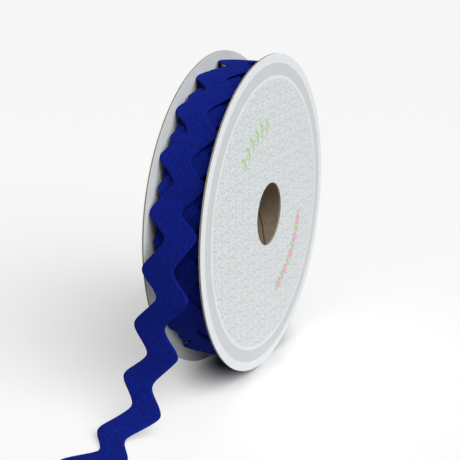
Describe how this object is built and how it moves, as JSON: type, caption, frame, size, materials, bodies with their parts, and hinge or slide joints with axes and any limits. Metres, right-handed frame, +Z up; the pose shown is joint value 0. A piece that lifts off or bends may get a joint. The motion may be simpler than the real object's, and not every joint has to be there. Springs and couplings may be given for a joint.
{
  "type": "roll of ric rac on a card reel",
  "caption": "Flat zigzag braid wound on a round card reel with a centre hole, its loose end hanging off the front of the roll and running out over the table.",
  "frame": {"origin": "bottom centre of the whole part's bounding box, on the surface that the reel's rims and the loose end rest on", "axes": "+X along the reel's axis towards the printed flange, +Z up, -Y towards the side where the loose end runs out"},
  "size_m": [0.0256, 0.1466, 0.0998],
  "materials": {
    "ric_rac": "matte",
    "printed_card": "satin",
    "plain_card": "matte",
    "kraft_board": "matte"
  },
  "bodies": {
    "root": {"ric_rac_roll": "ric_rac", "ric_rac_tail": "ric_rac", "card_flange_right": "printed_card", "card_flange_left": "plain_card", "core_tube": "kraft_board"}
  },
  "joints": []
}
